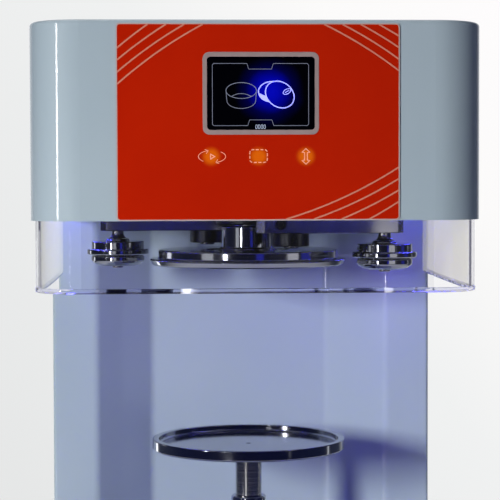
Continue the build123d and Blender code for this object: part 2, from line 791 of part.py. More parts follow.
def make_lift_nut():
    return turned([(screw_radius + running_clearance, rod_bottom_z - 3), (9.6, rod_bottom_z - 3),
                   (9.6, rod_bottom_z), (8, rod_bottom_z), (8, rod_bottom_z + 18),
                   (screw_radius + running_clearance, rod_bottom_z + 18)], y=spindle_y)


def make_lift_screw():
    return turned([(0, 40.4), (screw_radius, 40.4), (screw_radius, 139), (screw_radius - 1, 140), (0, 140)],
                  y=spindle_y)


def make_lift_motor():
    """A square stepping motor on the base plate, with the screw coming up out of it."""
    z0 = foot_height + base_plate_thickness
    top = lift_motor_top_z
    outline = Pos(0, spindle_y) * RectangleRounded(lift_motor_size, lift_motor_size, 5)
    motor = slab(outline, z0, top) + cylinder(19, top, top + 1.6, y=spindle_y)
    return motor - cylinder(screw_radius + running_clearance, top - 12, top + 1.6, y=spindle_y)


def make_dish():
    """A shallow turned dish with a raised rim, and a boss under it for its bearing."""
    dish = turned([(2, dish_floor_z), (dish_radius - dish_wall - 1.2, dish_floor_z),
                   (dish_radius - dish_wall, dish_floor_z + 1.2), (dish_radius - dish_wall, dish_rim_z - 0.5),
                   (dish_radius - dish_wall + 0.5, dish_rim_z), (dish_radius - 0.6, dish_rim_z),
                   (dish_radius, dish_rim_z - 0.6), (dish_radius, dish_bottom_z + 1), (dish_radius - 1, dish_bottom_z),
                   (20, dish_bottom_z), (18, dish_bottom_z - 2), (18, rod_shoulder_z + 0.6),
                   (11, rod_shoulder_z + 0.6), (11, dish_bottom_z), (2, dish_bottom_z)], y=spindle_y)
    return dish


def make_dish_bearing():
    z0 = rod_shoulder_z + 0.6
    z1 = dish_bottom_z
    return turned([(6.02, z0), (7.6, z0), (8, z0 + 0.4), (9, z0 + 0.4), (9.4, z0), (11, z0), (11, z1),
                   (9.4, z1), (9, z1 - 0.4), (8, z1 - 0.4), (7.6, z1), (6.02, z1)], y=spindle_y)


parts = {
    "rubber_feet": make_feet(),
    "base_plate": make_base_plate(),
    "base_cover": make_base_cover(),
    "power_inlet": make_power_inlet(),
    "switch_frame": make_switch_frame(),
    "power_rocker": make_power_rocker(),
    "column_cover": make_column_cover(),
    "back_cover": make_back_cover(),
    "back_cover_screws": group(back_screws()),
    "frame_uprights": make_uprights(),
    "power_supply": make_power_supply(),
    "head_cover": make_head_cover(),
    "head_cover_screws": group(head_screws()),
    "control_panel": make_control_panel(),
    "display_bezel": make_display_bezel(),
    "display_window": make_display_window(),
    "display_module": make_display_module(),
    "key_lamps": make_key_lamps(),
    "control_board": make_control_board(),
    "board_standoffs": make_board_standoffs(),
    "mechanism_plate": make_mechanism_plate(),
    "plate_screws": group(plate_screws()),
    "guard": make_guard(),
    "guard_screws": group(guard_screws()),
    "led_strip": make_led_strip(),
    "spindle_housing": make_spindle_housing(),
    "spindle_bearings": make_spindle_bearings(),
    "spindle_shaft": make_spindle_shaft(),
    "chuck_hub": make_chuck_hub(),
    "chuck": make_chuck(),
    "chuck_screws": group(chuck_screws()),
    "spindle_pulley": pulley(spindle_pulley_radius, spindle_radius, 0, spindle_y),
    "spindle_motor": make_spindle_motor(),
    "motor_shaft": make_motor_shaft(),
    "motor_pulley": pulley(motor_pulley_radius, 5, 0, motor_y),
    "drive_belt": make_drive_belt(),
    "lift_guide": make_lift_guide(),
    "guide_screws": group(guide_screws()),
    "guide_key": guide_key(),
    "lift_rod": make_lift_rod(),
    "lift_nut": make_lift_nut(),
    "lift_screw": make_lift_screw(),
    "lift_motor": make_lift_motor(),
    "dish": make_dish(),
    "dish_bearing": make_dish_bearing(),
}

arm_pieces = {
    "arm": make_arm(),
    "pivot_shaft": make_pivot_shaft(),
    "pivot_collar": make_pivot_collar(),
    "clamp_screw": clamp_screw(),
    "roller_pin": make_roller_pin(),
    "roller": make_roller(),
    "pivot_bush": make_pivot_bush(),
}
for name, shape in arm_pieces.items():
    parts["right_" + name] = shape
    parts["left_" + name] = half_turn(shape)
parts["arm_motors"] = group([make_arm_motor(), half_turn(make_arm_motor())])

os.makedirs("parts", exist_ok=True)
for name, shape in parts.items():
    export_step(shape, "parts/" + name + ".step")
print(len(parts), "pieces")
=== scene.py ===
import json
from math import cos, hypot, pi, radians, sin, sqrt

import bmesh
import bpy
from mathutils import Matrix, Vector

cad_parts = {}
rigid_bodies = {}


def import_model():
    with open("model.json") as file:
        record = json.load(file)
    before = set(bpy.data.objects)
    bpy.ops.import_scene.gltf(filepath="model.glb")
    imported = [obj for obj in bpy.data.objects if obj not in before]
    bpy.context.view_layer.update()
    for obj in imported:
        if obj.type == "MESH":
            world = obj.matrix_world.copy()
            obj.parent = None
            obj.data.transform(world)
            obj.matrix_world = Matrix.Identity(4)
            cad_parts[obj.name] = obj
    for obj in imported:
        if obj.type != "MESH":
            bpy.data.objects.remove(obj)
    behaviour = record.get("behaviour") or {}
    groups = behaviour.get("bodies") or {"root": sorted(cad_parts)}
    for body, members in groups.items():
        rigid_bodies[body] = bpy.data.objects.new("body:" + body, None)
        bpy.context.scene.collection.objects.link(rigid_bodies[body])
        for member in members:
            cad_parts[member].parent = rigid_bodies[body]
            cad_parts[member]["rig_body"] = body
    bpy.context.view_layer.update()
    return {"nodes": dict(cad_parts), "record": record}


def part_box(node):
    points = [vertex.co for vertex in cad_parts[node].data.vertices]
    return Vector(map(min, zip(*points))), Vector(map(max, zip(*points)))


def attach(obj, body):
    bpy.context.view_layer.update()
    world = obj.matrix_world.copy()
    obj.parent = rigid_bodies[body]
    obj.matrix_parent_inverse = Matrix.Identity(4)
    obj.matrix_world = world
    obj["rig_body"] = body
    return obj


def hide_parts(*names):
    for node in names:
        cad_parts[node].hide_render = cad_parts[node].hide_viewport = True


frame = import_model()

nodes = frame["nodes"]
mm = 0.001

# Camera: its place in metres, and its turns in radians
camera_place = Vector((-0.070742, -1.506232, 0.415995))
camera_yaw = 0.0495
camera_pitch = 0.0400
camera_roll = -0.0028
camera_lens = 129.75

# Colours of the light
white = (1, 1, 1)
sky_white = (0.86, 0.9, 1.0)
lamp_violet = (0.16, 0.015, 1.0)
lamp_blue = (0.05, 0.06, 1.0)

# Upright strips of light round the spindle, which only glossy surfaces show: name, azimuth in degrees, then
# distance, width, low end and high end in metres, power and colour
strips = (
    ("strip_front", -31, 1.9, 0.11, 0.18, 0.335, 1.7, white),
    ("strip_low_front", -26, 1.9, 0.24, -0.36, -0.16, 0.5, white),
    ("strip_left", -53, 1.9, 0.11, 0.35, 0.85, 4.05, white),
    ("strip_far_left", -121, 1.7, 0.30, 0.10, 0.33, 0.55, white),
    ("strip_low_left", -142, 1.7, 0.16, -0.40, 0.10, 0.7, white),
    ("strip_right", 46, 1.9, 0.06, -0.10, 0.34, 0.02, white),
    ("strip_far_right", 105, 1.7, 0.06, -0.40, 0.33, 0.2, white),
    ("strip_blue", 12, 1.9, 0.30, 0.18, 0.335, 0.10, lamp_blue),
    ("strip_far_blue", 75, 1.9, 0.50, 0.18, 0.335, 0.12, lamp_blue))

# Places on the machine, read from the frame
panel_lo, panel_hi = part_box("control_panel")
panel_face = panel_lo.y
window_lo, window_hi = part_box("display_window")
window_face = window_lo.y
chuck_lo, chuck_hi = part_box("chuck")
spindle = (chuck_lo + chuck_hi) / 2
key_lo, key_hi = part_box("key_lamps")
key_height = (key_lo.z + key_hi.z) / 2
key_pitch = 34.2 * mm
guard_lo, guard_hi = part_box("guard")
strip_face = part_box("led_strip")[1].z - 2 * mm

# Sizes in millimetres of the print, the pale line of painted edge light round the panel, the screen's picture
# and the guard
edge_line = 0.9
stripe_width = 1.15
stripe_bow = 320.0
screen_x = (window_lo.x + window_hi.x) / 2 / mm
screen_z = (window_lo.z + window_hi.z) / 2 / mm
screen_glow = (screen_x + 6.5, screen_z + 1.0)
guard_wall = 3.0
guard_corner = 35.0
lip_reach = 0.8
lip_height = 3.7

# Endings of the names of the nodes whose edges are rounded by dress
rounded_kinds = ("_arm", "_collar", "_clamp_screw", "_roller_pin", "_pivot_shaft", "lift_rod", "lift_guide")

# The material slot of each node in the record, and the nodes that have a finish of their own
frame_slots = {entry["node"]: entry["material_slot"] for entry in frame["record"]["subparts"]}
own_finish = {"chuck": "chuck_steel", "chuck_hub": "chuck_steel", "right_roller": "right_roller_steel",
              "left_roller": "left_roller_steel", "lift_rod": "rod_steel"}


# Camera, world, lights and floor

def make_camera():
    cy, sy = cos(camera_yaw), sin(camera_yaw)
    cp, sp = cos(camera_pitch), sin(camera_pitch)
    ahead = Vector((sy * cp, cy * cp, -sp))
    level = Vector((cy, -sy, 0))
    over = level.cross(ahead)
    right = level * cos(camera_roll) + over * sin(camera_roll)
    up = over * cos(camera_roll) - level * sin(camera_roll)
    turn = Matrix((right, up, -ahead)).transposed().to_4x4()
    data = bpy.data.cameras.new("camera")
    data.sensor_width = 36
    data.lens = camera_lens
    data.clip_start = 0.05
    data.clip_end = 50
    camera = bpy.data.objects.new("camera", data)
    camera.matrix_world = Matrix.Translation(camera_place) @ turn
    bpy.context.scene.collection.objects.link(camera)
    bpy.context.scene.camera = camera


def area_light(name, place, target, width, height, power, colour=white):
    """A rectangle of light that isn't seen itself, neither straight nor through clear parts."""
    data = bpy.data.lights.new(name, "AREA")
    data.shape = "RECTANGLE"
    data.size = width
    data.size_y = height
    data.energy = power
    data.color = colour
    light = bpy.data.objects.new(name, data)
    light.location = place
    light.rotation_mode = "QUATERNION"
    light.rotation_quaternion = (Vector(target) - Vector(place)).to_track_quat("-Z", "Y")
    light.visible_camera = False
    light.visible_transmission = False
    bpy.context.scene.collection.objects.link(light)
    return light


def make_lights():
    """A small key from the left, soft light from above, in front and behind, and strips for gloss."""
    key = area_light("key_light", (-1.20, -1.87, 0.60), (0, -0.1, 0.05), 0.24, 0.36, 10.9)
    key.data.spread = radians(90)
    fill = area_light("fill_light", (0.7, -2.0, 0.3), (0, -0.1, 0.3), 1.2, 0.9, 3.0, sky_white)
    back = area_light("back_light", (0.7, 2.2, 1.3), (0, 0.1, 0.3), 1.2, 1.2, 30)
    for light in (key, fill, back):
        light.visible_glossy = False
    area_light("top_light", (-0.2, 0.3, 2.2), (0, 0, 0.3), 1.8, 1.8, 12)
    under_plate = ((0.02, -0.065, 0.3887), (0.02, -0.065, 0), 0.25, 0.23)
    glow = area_light("lamp_glow", *under_plate, 0.57, lamp_violet)
    glow.data.spread = radians(140)
    glow.visible_glossy = False
    shine = area_light("lamp_shine", *under_plate, 0.14, lamp_blue)
    shine.visible_diffuse = False
    for name, azimuth, reach, width, low, high, power, colour in strips:
        angle = radians(azimuth)
        middle = (low + high) / 2
        place = (reach * sin(angle), spindle.y - reach * cos(angle), middle)
        strip = area_light(name, place, (0, spindle.y, middle), width, high - low, power, colour)
        strip.visible_diffuse = False


def make_world():
    """A plain pale backdrop, also through clear parts. Everything else is lit by a dim, cool room."""
    world = bpy.data.worlds.new("studio")
    bpy.context.scene.world = world
    world.use_nodes = True
    tree = world.node_tree
    tree.nodes.clear()
    direction = add(tree, "TexCoord").outputs["Generated"]
    backdrop = add(tree, "Background")
    link_ramp(tree, gradient(tree, direction, (0.46, 0, 0.38), -0.1, 0.12), backdrop.inputs["Color"],
              ((0, (0.79, 0.80, 0.80)), (0.37, (0.84, 0.85, 0.85)), (0.57, (0.87, 0.88, 0.88)),
               (0.8, (0.97, 0.96, 0.955)), (1, (0.99, 0.975, 0.98))))
    room = add(tree, "Background")
    link_ramp(tree, gradient(tree, direction, (0, 1, 0), -1, 1), room.inputs["Color"],
              ((0, (0.008, 0.010, 0.042)), (0.5, (0.015, 0.020, 0.060)), (0.85, (0.05, 0.06, 0.10)),
               (0.97, (0.75, 0.77, 0.8)), (1, (0.8, 0.82, 0.84))))
    path = add(tree, "LightPath")
    seen = add(tree, "Math", operation="MAXIMUM")
    tree.links.new(path.outputs["Is Camera Ray"], seen.inputs[0])
    tree.links.new(path.outputs["Is Transmission Ray"], seen.inputs[1])
    mix = add(tree, "MixShader")
    tree.links.new(seen.outputs[0], mix.inputs[0])
    tree.links.new(room.outputs[0], mix.inputs[1])
    tree.links.new(backdrop.outputs[0], mix.inputs[2])
    tree.links.new(mix.outputs[0], add(tree, "OutputWorld").inputs[0])


def make_floor():
    """A pale round floor that fades out into the backdrop."""
    mesh = bpy.data.meshes.new("floor")
    form = bmesh.new()
    bmesh.ops.create_circle(form, cap_ends=True, segments=96, radius=1.1)
    form.to_mesh(mesh)
    form.free()
    floor = bpy.data.objects.new("floor", mesh)
    bpy.context.scene.collection.objects.link(floor)
    surface, tree, shader = new_material("floor_paper", {
        "Roughness": 0.6, "Specular IOR Level": 0.2,
        "Emission Color": (0.80, 0.81, 0.83, 1), "Emission Strength": 0.22})
    place = add(tree, "TexCoord").outputs["Object"]
    grain = noise(tree, place, 40, 3)
    link_ramp(tree, grain, shader.inputs["Base Color"],
              ((0.3, (0.80, 0.81, 0.82)), (0.7, (0.83, 0.84, 0.85))))
    far = add(tree, "VectorMath", operation="LENGTH")
    tree.links.new(place, far.inputs[0])
    link_range(tree, far.outputs["Value"], shader.inputs["Alpha"], 0.45, 0.85, 1, 0)
    mesh.materials.append(surface)


# Node helpers

def add(tree, kind, **settings):
    node = tree.nodes.new("ShaderNode" + kind)
    for name, value in settings.items():
        setattr(node, name, value)
    return node


def new_material(name, values):
    """A material with one Principled shader, whose plain values are set on its own sockets."""
    material = bpy.data.materials.new(name)
    material.use_nodes = True
    tree = material.node_tree
    shader = tree.nodes["Principled BSDF"]
    for socket, value in values.items():
        shader.inputs[socket].default_value = value
    return material, tree, shader


def gradient(tree, vector, along, low, high):
    """Runs from 0 to 1 as the vector's length along a direction goes from low to high."""
    dot = add(tree, "VectorMath", operation="DOT_PRODUCT")
    tree.links.new(vector, dot.inputs[0])
    dot.inputs[1].default_value = along
    span = add(tree, "MapRange")
    tree.links.new(dot.outputs["Value"], span.inputs["Value"])
    span.inputs["From Min"].default_value = low
    span.inputs["From Max"].default_value = high
    return span.outputs["Result"]


def link_range(tree, value, socket, low, high, at_low, at_high):
    span = add(tree, "MapRange", interpolation_type="SMOOTHSTEP")
    tree.links.new(value, span.inputs["Value"])
    span.inputs["From Min"].default_value = low
    span.inputs["From Max"].default_value = high
    span.inputs["To Min"].default_value = at_low
    span.inputs["To Max"].default_value = at_high
    tree.links.new(span.outputs["Result"], socket)


def link_ramp(tree, factor, socket, stops):
    ramp = add(tree, "ValToRGB")
    colours = ramp.color_ramp.elements
    colours[0].position, colours[1].position = stops[0][0], stops[-1][0]
    colours[0].color, colours[1].color = (*stops[0][1], 1), (*stops[-1][1], 1)
    for place, colour in stops[1:-1]:
        colours.new(place).color = (*colour, 1)
    tree.links.new(factor, ramp.inputs["Fac"])
    tree.links.new(ramp.outputs["Color"], socket)


def noise(tree, vector, scale, detail=2.0, stretch=(1, 1, 1)):
    squeeze = add(tree, "Mapping")
    squeeze.inputs["Scale"].default_value = stretch
    tree.links.new(vector, squeeze.inputs["Vector"])
    texture = add(tree, "TexNoise")
    texture.inputs["Scale"].default_value = scale
    texture.inputs["Detail"].default_value = detail
    tree.links.new(squeeze.outputs["Vector"], texture.inputs["Vector"])
    return texture.outputs["Fac"]


def bump(tree, height, shader, strength, distance):
    node = add(tree, "Bump")
    node.inputs["Strength"].default_value = strength
    node.inputs["Distance"].default_value = distance
    tree.links.new(height, node.inputs["Height"])
    tree.links.new(node.outputs["Normal"], shader.inputs["Normal"])


def turning_lines(tree, x, y, scale):
    """Fine rings about an upright axis, as a lathe leaves them: noise along radius plus height."""
    place = add(tree, "TexCoord").outputs["Object"]
    shift = add(tree, "VectorMath", operation="SUBTRACT")
    tree.links.new(place, shift.inputs[0])
    shift.inputs[1].default_value = (x, y, 0)
    parts = add(tree, "SeparateXYZ")
    tree.links.new(shift.outputs[0], parts.inputs[0])
    flat = add(tree, "CombineXYZ")
    tree.links.new(parts.outputs["X"], flat.inputs["X"])
    tree.links.new(parts.outputs["Y"], flat.inputs["Y"])
    radius = add(tree, "VectorMath", operation="LENGTH")
    tree.links.new(flat.outputs[0], radius.inputs[0])
    total = add(tree, "Math", operation="ADD")
    tree.links.new(radius.outputs["Value"], total.inputs[0])
    tree.links.new(parts.outputs["Z"], total.inputs[1])
    rings = add(tree, "TexNoise", noise_dimensions="1D")
    rings.inputs["Scale"].default_value = scale
    rings.inputs["Detail"].default_value = 3
    tree.links.new(total.outputs[0], rings.inputs["W"])
    return rings.outputs["Fac"]


# Materials

def shell_paint():
    """Smooth cool grey enamel with a faint orange peel and a clear gloss coat."""
    surface, tree, shader = new_material("shell_paint", {
        "Roughness": 0.4, "Coat Weight": 1.0, "Coat Roughness": 0.035, "Specular IOR Level": 0.4})
    place = add(tree, "TexCoord").outputs["Object"]
    link_ramp(tree, noise(tree, place, 9, 3), shader.inputs["Base Color"],
              ((0.25, (0.355, 0.437, 0.478)), (0.75, (0.385, 0.463, 0.502))))
    bump(tree, noise(tree, place, 700, 2), shader, 0.12, 0.00006)
    return surface


def panel_film():
    """Red-orange printed film, lit from behind at the three touch keys."""
    surface, tree, shader = new_material("panel_film", {
        "Roughness": 0.42, "Specular IOR Level": 0.06, "Emission Strength": 1.0})
    place = add(tree, "TexCoord").outputs["Object"]
    link_ramp(tree, noise(tree, place, 14, 4), shader.inputs["Base Color"],
              ((0.3, (0.415, 0.0100, 0.0002)), (0.7, (0.445, 0.0124, 0.0003))))
    falloff = add(tree, "MapRange", interpolation_type="SMOOTHERSTEP")
    tree.links.new(distance_to_keys(tree, place), falloff.inputs["Value"])
    falloff.inputs["From Min"].default_value = 2.0 * mm
    falloff.inputs["From Max"].default_value = 8.8 * mm
    falloff.inputs["To Min"].default_value = 1
    falloff.inputs["To Max"].default_value = 0
    link_ramp(tree, falloff.outputs["Result"], shader.inputs["Emission Color"],
              ((0, (0, 0, 0)), (1, (0.27, 0.105, 0.002))))
    bump(tree, noise(tree, place, 2600, 2), shader, 0.15, 0.00002)
    return surface


def distance_to_keys(tree, place):
    """The distance to the nearest of the three keys, and far more than that beside them."""
    split = add(tree, "SeparateXYZ")
    tree.links.new(place, split.inputs[0])
    wrap = add(tree, "Math", operation="WRAP")
    tree.links.new(split.outputs["X"], wrap.inputs[0])
    wrap.inputs[1].default_value = -key_pitch / 2
    wrap.inputs[2].default_value = key_pitch / 2
    height = add(tree, "Math", operation="SUBTRACT")
    tree.links.new(split.outputs["Z"], height.inputs[0])
    height.inputs[1].default_value = key_height
    offset = add(tree, "CombineXYZ")
    tree.links.new(wrap.outputs[0], offset.inputs["X"])
    tree.links.new(height.outputs[0], offset.inputs["Y"])
    reach = add(tree, "VectorMath", operation="LENGTH")
    tree.links.new(offset.outputs[0], reach.inputs[0])
    side = add(tree, "Math", operation="ABSOLUTE")
    tree.links.new(split.outputs["X"], side.inputs[0])
    beyond = add(tree, "Math", operation="GREATER_THAN")
    tree.links.new(side.outputs[0], beyond.inputs[0])
    beyond.inputs[1].default_value = 1.5 * key_pitch
    spread = add(tree, "Math", operation="ADD")
    tree.links.new(reach.outputs["Value"], spread.inputs[0])
    tree.links.new(beyond.outputs[0], spread.inputs[1])
    return spread.outputs[0]


def bezel_grey():
    surface, tree, shader = new_material("bezel_grey", {"Roughness": 0.4, "Specular IOR Level": 0.4})
    place = add(tree, "TexCoord").outputs["Object"]
    link_ramp(tree, noise(tree, place, 120, 3), shader.inputs["Base Color"],
              ((0.3, (0.288, 0.216, 0.203)), (0.7, (0.324, 0.244, 0.230))))
    bump(tree, noise(tree, place, 1800, 2), shader, 0.2, 0.00003)
    return surface


def screen_glass():
    """Dark glass over a lit screen, with a soft blue glow round the picture on the right."""
    surface, tree, shader = new_material("screen_glass", {
        "Base Color": (0.0004, 0.0004, 0.0006, 1), "Roughness": 0.06, "Specular IOR Level": 0.3,
        "Emission Strength": 1.0})
    place = add(tree, "TexCoord").outputs["Object"]
    shift = add(tree, "VectorMath", operation="SUBTRACT")
    tree.links.new(place, shift.inputs[0])
    shift.inputs[1].default_value = (screen_glow[0] * mm, window_face, screen_glow[1] * mm)
    reach = add(tree, "VectorMath", operation="LENGTH")
    tree.links.new(shift.outputs[0], reach.inputs[0])
    blur = noise(tree, place, 60, 2)
    spread = add(tree, "Math", operation="MULTIPLY_ADD")
    tree.links.new(blur, spread.inputs[0])
    spread.inputs[1].default_value = 5 * mm
    tree.links.new(reach.outputs["Value"], spread.inputs[2])
    falloff = add(tree, "MapRange", interpolation_type="SMOOTHSTEP")
    tree.links.new(spread.outputs[0], falloff.inputs["Value"])
    falloff.inputs["From Min"].default_value = 3 * mm
    falloff.inputs["From Max"].default_value = 29 * mm
    falloff.inputs["To Min"].default_value = 1
    falloff.inputs["To Max"].default_value = 0
    link_ramp(tree, falloff.outputs["Result"], shader.inputs["Emission Color"],
              ((0, (0, 0, 0)), (0.3, (0, 0, 0.045)), (0.65, (0, 0.0004, 0.27)), (1, (0.001, 0.002, 0.46))))
    return surface


def glow_ink(name, colour, strength):
    """Ink or lit lines, with a fine screen dot in its brightness."""
    surface, tree, shader = new_material(name, {
        "Base Color": (*colour, 1), "Roughness": 0.5, "Emission Strength": strength})
    place = add(tree, "TexCoord").outputs["Object"]
    dim = tuple(0.8 * c for c in colour)
    link_ramp(tree, noise(tree, place, 1500, 1), shader.inputs["Emission Color"], ((0.3, dim), (0.7, colour)))
    return surface


def printed_ink(name, colour):
    surface, tree, shader = new_material(name, {"Roughness": 0.5, "Specular IOR Level": 0.3})
    place = add(tree, "TexCoord").outputs["Object"]
    dim = tuple(0.85 * c for c in colour)
    link_ramp(tree, noise(tree, place, 900, 2), shader.inputs["Base Color"], ((0.3, dim), (0.7, colour)))
    return surface


def clear_acrylic():
    """A clear sheet: see-through face on. Towards its edges it glows pale, a painted reflection given by
    emission over a yellowish base.
    """
    # Painted reflection: the emission is no lamp. It stands for the pale surroundings mirrored at grazing
    # angles, and the low blue in the base holds back the blue lamp light.
    surface, tree, shader = new_material("clear_acrylic", {
        "Base Color": (0.3, 0.3, 0.08, 1), "Roughness": 0.08, "IOR": 1.49,
        "Emission Color": (0.80, 0.79, 0.72, 1), "Emission Strength": 0.5})
    clear = add(tree, "BsdfTransparent")
    clear.inputs["Color"].default_value = (0.94, 0.94, 0.955, 1)
    facing = add(tree, "LayerWeight")
    share = add(tree, "ValToRGB")
    stops = share.color_ramp.elements
    stops[0].position, stops[1].position = 0.0, 1.0
    stops[0].color, stops[1].color = (0.003, 0.003, 0.003, 1), (0.8, 0.8, 0.8, 1)
    stops.new(0.6).color = (0.05, 0.05, 0.05, 1)
    stops.new(0.92).color = (0.72, 0.72, 0.72, 1)
    tree.links.new(facing.outputs["Facing"], share.inputs["Fac"])
    mix = add(tree, "MixShader")
    tree.links.new(share.outputs["Color"], mix.inputs[0])
    tree.links.new(clear.outputs[0], mix.inputs[1])
    tree.links.new(shader.outputs[0], mix.inputs[2])
    tree.links.new(mix.outputs[0], tree.nodes["Material Output"].inputs["Surface"])
    return surface


def polished_lip():
    """The sheet's flame-polished edge. It bends light, and has painted reflections along the front: dark
    patches in its colour and bright patches that glow.
    """
    surface, tree, shader = new_material("polished_lip", {
        "Roughness": 0.015, "IOR": 1.49, "Transmission Weight": 1.0, "Emission Strength": 1.0})
    place = add(tree, "TexCoord").outputs["Object"]
    level = painted_lip_reflections(tree, place)
    # Painted reflections: low levels darken the colour into dark patches, high levels glow white through
    # emission, though the lip is no lamp.
    link_ramp(tree, level, shader.inputs["Base Color"],
              ((0.0, (0.02, 0.02, 0.04)), (0.18, (0.03, 0.03, 0.06)), (0.3, (0.80, 0.80, 0.95)),
               (1, (0.92, 0.92, 0.99))))
    link_ramp(tree, level, shader.inputs["Emission Color"],
              ((0, (0, 0, 0)), (0.72, (0, 0, 0)), (0.84, (0.40, 0.40, 0.42)), (1, (0.5, 0.5, 0.52))))
    bump(tree, noise(tree, place, 34, 2), shader, 1.0, 0.004)
    return surface


def painted_lip_reflections(tree, place):
    """Swings from 0 to 1 along the lip's front, less in its middle, and sets the painted dark and bright
    reflection patches. It is one half round the corners.
    """
    split = add(tree, "SeparateXYZ")
    tree.links.new(place, split.inputs[0])
    side = add(tree, "Math", operation="ABSOLUTE")
    tree.links.new(split.outputs["X"], side.inputs[0])
    share = add(tree, "Math", operation="DIVIDE")
    tree.links.new(side.outputs[0], share.inputs[0])
    share.inputs[1].default_value = guard_hi.x
    middle = add(tree, "Math", operation="SUBTRACT")
    tree.links.new(noise(tree, place, 62, 1.5, stretch=(1, 1, 0.2)), middle.inputs[0])
    middle.inputs[1].default_value = 0.5
    swing = add(tree, "Math", operation="MULTIPLY")
    tree.links.new(middle.outputs[0], swing.inputs[0])
    link_ramp(tree, share.outputs[0], swing.inputs[1],
              ((0, (0.3, 0.3, 0.3)), (0.22, (0.4, 0.4, 0.4)), (0.4, (1, 1, 1)), (0.68, (1, 1, 1)),
               (0.78, (0, 0, 0))))
    level = add(tree, "Math", operation="MULTIPLY_ADD")
    tree.links.new(swing.outputs[0], level.inputs[0])
    level.inputs[1].default_value = 3.4
    level.inputs[2].default_value = 0.5
    return level.outputs[0]


def bent_corner():
    """The clear sheet where it is bent. It bends the view too, and has a painted dark line near its outline,
    standing in for the dark edge that refraction gives there.
    """
    surface, tree, shader = new_material("bent_corner", {
        "Roughness": 0.0, "IOR": 1.49, "Transmission Weight": 1.0, "Specular Tint": (0.05, 0.05, 0.05, 1)})
    facing = add(tree, "LayerWeight").outputs["Facing"]
    # Painted shade: the colour turns dark in a narrow band of grazing angles, for the dark refraction line
    # near the outline.
    link_ramp(tree, facing, shader.inputs["Base Color"],
              ((0, (0.97, 0.97, 0.99)), (0.50, (0.95, 0.95, 0.98)), (0.56, (0.03, 0.03, 0.05)),
               (0.62, (0.03, 0.03, 0.05)), (0.69, (0.95, 0.95, 0.98)), (1, (0.97, 0.97, 0.99))))
    place = add(tree, "TexCoord").outputs["Object"]
    bump(tree, noise(tree, place, 20, 2), shader, 0.15, 0.001)
    return surface


def led_white():
    """A white strip with small blue-white lamps, which are dimmer along the front."""
    surface, tree, shader = new_material("led_white", {
        "Base Color": (0.8, 0.8, 0.85, 1), "Roughness": 0.4, "Emission Strength": 50.0})
    place = add(tree, "TexCoord").outputs["Object"]
    split = add(tree, "SeparateXYZ")
    tree.links.new(place, split.inputs[0])
    lamp = add(tree, "Math", operation="LESS_THAN")
    tree.links.new(split.outputs["Z"], lamp.inputs[0])
    lamp.inputs[1].default_value = strip_face - 0.05 * mm
    lit = add(tree, "MapRange")
    tree.links.new(lamp.outputs[0], lit.inputs["Value"])
    lit.inputs["To Min"].default_value = 0.04
    lit.inputs["To Max"].default_value = 1.0
    power = add(tree, "Math", operation="MULTIPLY")
    tree.links.new(lit.outputs["Result"], power.inputs[0])
    link_range(tree, split.outputs["Y"], power.inputs[1], -0.19, -0.10, 0.2, 1.0)
    link_ramp(tree, power.outputs[0], shader.inputs["Emission Color"],
              ((0, (0, 0, 0)), (1, (0.06, 0.06, 1.0))))
    return surface


def turned_steel(name, x, y, colour, roughness, scale=2600, depth=0.12):
    """Steel off the lathe: rings in its height and its roughness, drawn round the axis."""
    dark = tuple(0.86 * c for c in colour)
    surface, tree, shader = new_material(name, {"Metallic": 1.0, "Anisotropic": 0.2})
    rings = turning_lines(tree, x, y, scale)
    link_ramp(tree, rings, shader.inputs["Base Color"], ((0.3, dark), (0.7, colour)))
    link_range(tree, rings, shader.inputs["Roughness"], 0.3, 0.7, 0.8 * roughness, 1.3 * roughness)
    tangent = add(tree, "Tangent", direction_type="RADIAL", axis="Z")
    tree.links.new(tangent.outputs[0], shader.inputs["Tangent"])
    bump(tree, rings, shader, depth, 0.00002)
    return surface


def milled_steel(name, colour, roughness):
    """Machined faces with fine straight tool marks."""
    dark = tuple(0.95 * c for c in colour)
    surface, tree, shader = new_material(name, {"Metallic": 1.0})
    place = add(tree, "TexCoord").outputs["Object"]
    marks = noise(tree, place, 2200, 3, stretch=(0.03, 0.03, 1))
    link_ramp(tree, marks, shader.inputs["Base Color"], ((0.3, dark), (0.7, colour)))
    link_range(tree, marks, shader.inputs["Roughness"], 0.3, 0.7, 0.94 * roughness, 1.07 * roughness)
    bump(tree, marks, shader, 0.05, 0.00002)
    return surface


def moulded(name, colour, roughness, grain=1200, depth=0.2, **values):
    """Plastic, rubber or powder coat with a fine even grain."""
    light = tuple(1.25 * c + 0.002 for c in colour)
    surface, tree, shader = new_material(name, values)
    place = add(tree, "TexCoord").outputs["Object"]
    speckle = noise(tree, place, grain, 3)
    link_ramp(tree, speckle, shader.inputs["Base Color"], ((0.3, colour), (0.7, light)))
    link_range(tree, speckle, shader.inputs["Roughness"], 0.3, 0.7, 0.85 * roughness, 1.1 * roughness)
    bump(tree, speckle, shader, depth, 0.00004)
    return surface


def board_green():
    """A solder-masked board with copper tracks showing as slightly paler lines."""
    surface, tree, shader = new_material("board_green", {"Roughness": 0.35})
    place = add(tree, "TexCoord").outputs["Object"]
    tracks = add(tree, "TexBrick")
    tracks.inputs["Scale"].default_value = 160
    tracks.inputs["Mortar Size"].default_value = 0.03
    tracks.inputs["Color1"].default_value = (0.01, 0.09, 0.035, 1)
    tracks.inputs["Color2"].default_value = (0.012, 0.11, 0.04, 1)
    tracks.inputs["Mortar"].default_value = (0.03, 0.2, 0.08, 1)
    turn = add(tree, "Mapping")
    turn.inputs["Rotation"].default_value = (radians(90), 0, 0)
    tree.links.new(place, turn.inputs["Vector"])
    tree.links.new(turn.outputs["Vector"], tracks.inputs["Vector"])
    tree.links.new(tracks.outputs["Color"], shader.inputs["Base Color"])
    return surface


